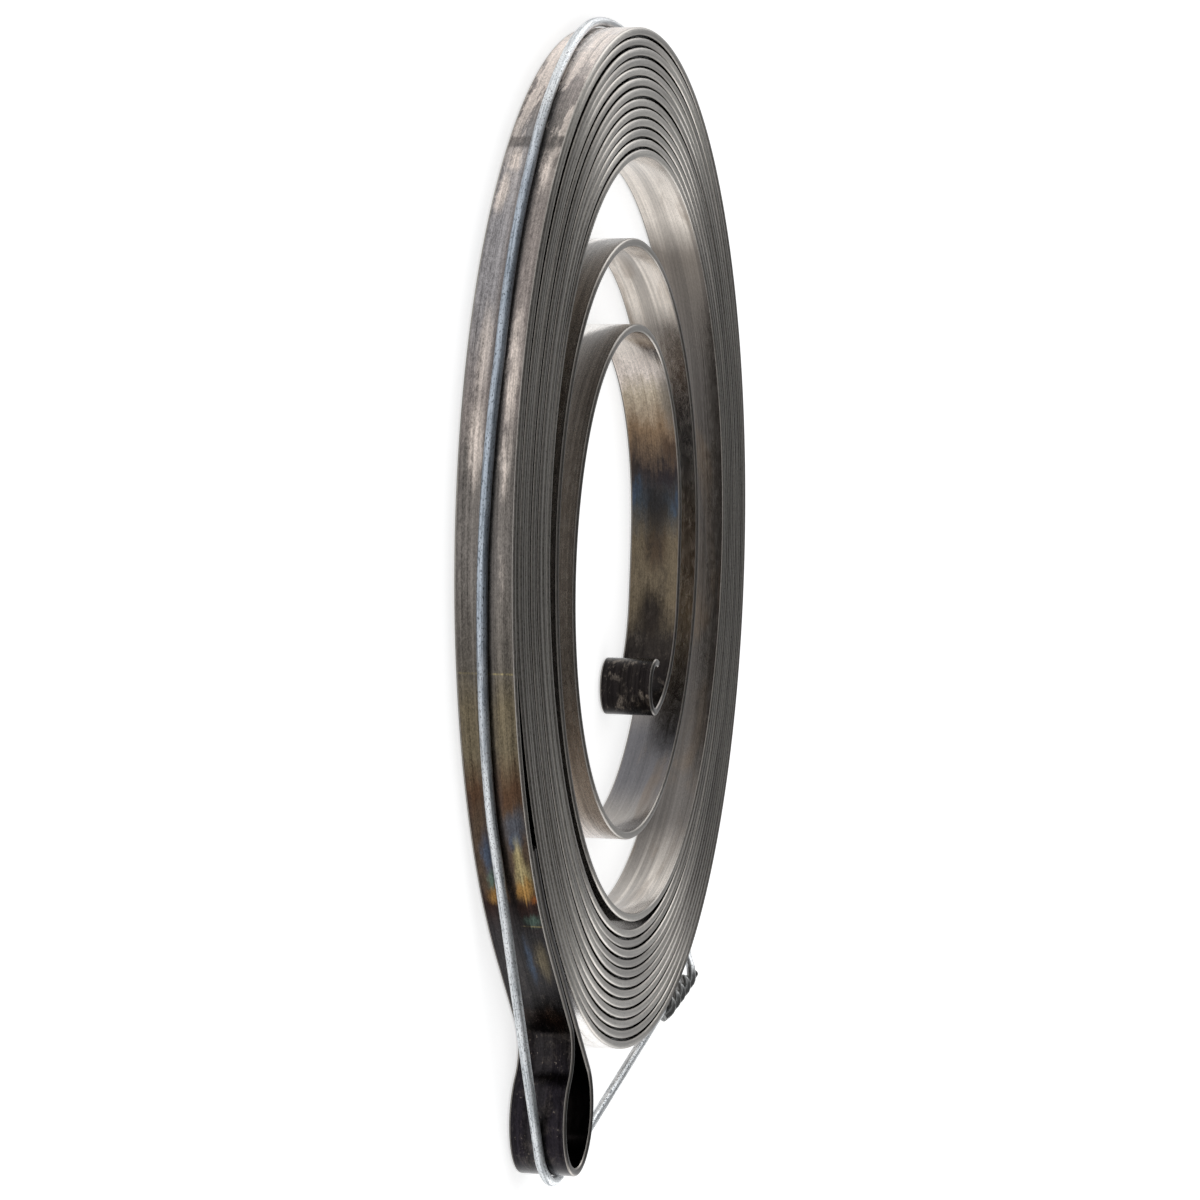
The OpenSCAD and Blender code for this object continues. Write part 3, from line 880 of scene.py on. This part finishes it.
def wire_material(length):
    """Drawn zinc, bright along the belt and darker where the ends are twisted."""
    sh = Shader(bpy.data.materials.new("galvanised_wire"))
    at = sh.attribute("laid")
    way = sh.parts(at)[0]
    drawn = sh.noise(at, *ZINC_DRAWN)
    cloud = sh.noise(at, *ZINC_CLOUD)
    pits = sh.band(sh.noise(at, *ZINC_SPOTS), *PITTED)
    colour = sh.mix(sh.band(drawn, *DRAWN_LINES), ZINC_DARK, ZINC)
    colour = sh.mix(sh.band(cloud, *BRIGHT_CLOUDS), colour, ZINC_BRIGHT)
    colour = sh.mix(sh.times(pits, PIT_AMOUNT), colour, ZINC_PIT)
    for zone, shade in SHADES:
        colour = sh.mix(sh.zone(way, *zone), colour, shade, "MULTIPLY")
    first_twist = sh.band(way, TWIST_FULL, TWIST_END, 1.0, 0.0)
    last_twist = sh.band(way, length - TWIST_END, length - TWIST_FULL)
    colour = sh.mix(sh.times(sh.most(first_twist, last_twist), TWIST_AMOUNT), colour, ZINC_TWIST_DARK)
    rough = sh.plus(WIRE_ROUGH, sh.band(cloud, *WIRE_ROUGH_CLOUD))
    relief = sh.minus(drawn, sh.times(pits, PIT_RELIEF))
    return sh.metal(colour, rough, relief, WIRE_DEPTH)


strip = make_strip()
strip.data.materials.append(edge_material())
strip.data.materials.append(wall_material())
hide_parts("spring")
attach(strip, "root")

wire, wire_length = make_wire()
wire.data.materials.append(wire_material(wire_length))
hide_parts("binding_wire")
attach(wire, "root")


# pale floor that keeps the shadow, and a plain white surrounding
WHITE = (1.0, 1.0, 1.0)
FLOOR_TONE = (0.8, 0.8, 0.8)
FLOOR_SIZE = 6.0
FLOOR_LIFT = 0.62
# what metal sees: less light high up and behind the camera
AMBIENT, OVERHEAD, BEHIND = 0.55, 0.07, 0.75
OVERHEAD_FROM, OVERHEAD_FULL = 0.30, 0.70
BEHIND_FULL, BEHIND_FROM = -0.8, 0.1


def floor_material():
    sh = Shader(bpy.data.materials.new("studio_floor"))
    path = sh.node("ShaderNodeLightPath").outputs
    seen = sh.most(path["Is Camera Ray"], path["Is Glossy Ray"], path["Is Transmission Ray"])
    diffuse = sh.node("ShaderNodeBsdfDiffuse", {"Color": FLOOR_TONE})
    glow = sh.node("ShaderNodeEmission", {"Color": WHITE, "Strength": sh.times(seen, FLOOR_LIFT)})
    both = sh.node("ShaderNodeAddShader", {0: diffuse.outputs[0], 1: glow.outputs[0]})
    return sh.end("ShaderNodeOutputMaterial", both)


def make_floor():
    half = FLOOR_SIZE / 2
    corners = [(-half, -half, 0), (half, -half, 0), (half, half, 0), (-half, half, 0)]
    me = bpy.data.meshes.new("floor")
    me.from_pydata(corners, [], [(0, 1, 2, 3)])
    obj = bpy.data.objects.new("floor", me)
    bpy.context.collection.objects.link(obj)
    me.materials.append(floor_material())


def make_world():
    """White for the camera; metal sees white around it, and less light overhead and behind the camera."""
    sh = Shader(bpy.data.worlds.new("studio"))
    bpy.context.scene.world = sh.owner
    path = sh.node("ShaderNodeLightPath").outputs
    _, ahead, up = sh.parts(sh.node("ShaderNodeTexCoord").outputs["Generated"])
    above = sh.band(up, OVERHEAD_FROM, OVERHEAD_FULL, 1.0, OVERHEAD)
    mirrored = sh.times(above, sh.band(ahead, BEHIND_FULL, BEHIND_FROM, BEHIND, 1.0))
    glossy = sh.most(path["Is Glossy Ray"], path["Is Transmission Ray"])
    level = sh.mix_value(glossy, AMBIENT, mirrored)
    level = sh.mix_value(path["Is Camera Ray"], level, 1.0)
    sh.end("ShaderNodeOutputWorld", sh.node("ShaderNodeBackground", {"Color": WHITE, "Strength": level}))


# soft lamps that look at the coil's axis: name, place, size, watts
LAMPS = (
    ("overhead", (0.0, 0.1, 0.9), (1.2, 1.2), 0.4),
    ("top_side", (-0.58, 0.76, 0.27), (0.6, 0.4), 1.3),
    ("bottom_side", (0.6, 0.7, 0.27), (0.6, 0.4), 1.3),
)


def make_light(name, place, size, watts):
    data = bpy.data.lights.new(name, "AREA")
    data.shape = "RECTANGLE"
    data.size, data.size_y = size
    data.energy = watts
    obj = bpy.data.objects.new(name, data)
    bpy.context.collection.objects.link(obj)
    obj.location = place
    obj.rotation_mode = "QUATERNION"
    obj.rotation_quaternion = (-Vector(place)).to_track_quat("-Z", "Y")


# camera of the photograph: it looks at the lying coil from the side, turned so that +X is down
CAMERA_DISTANCE = 404.47
CAMERA_RISE = math.radians(13.773)
CAMERA_ROLL = math.radians(-1.168)
FOCAL_PIXELS = 3262.6
FRAME_PIXELS = 1200.0
CENTRE_PIXEL = (592.82, 538.88)
SENSOR = 36.0
CLIP_START = 0.01


def make_camera():
    data = bpy.data.cameras.new("camera")
    data.sensor_width = SENSOR
    data.lens = FOCAL_PIXELS / FRAME_PIXELS * SENSOR
    data.shift_x = (FRAME_PIXELS / 2 - CENTRE_PIXEL[0]) / FRAME_PIXELS
    data.shift_y = (CENTRE_PIXEL[1] - FRAME_PIXELS / 2) / FRAME_PIXELS
    data.clip_start = CLIP_START
    e, roll = CAMERA_RISE, CAMERA_ROLL
    ahead = Vector((0.0, math.cos(e), -math.sin(e)))
    level = Vector((0.0, math.sin(e), math.cos(e)))
    down = Vector((1.0, 0.0, 0.0))
    right = math.cos(roll) * level + math.sin(roll) * down
    below = -math.sin(roll) * level + math.cos(roll) * down
    obj = bpy.data.objects.new("camera", data)
    bpy.context.collection.objects.link(obj)
    turn = Matrix((right, -below, -ahead)).transposed().to_4x4()
    obj.matrix_world = Matrix.Translation(-ahead * CAMERA_DISTANCE * MM) @ turn
    bpy.context.scene.camera = obj


make_floor()
make_world()
for lamp in LAMPS:
    make_light(*lamp)
make_camera()
bpy.context.scene.view_settings.view_transform = "Standard"
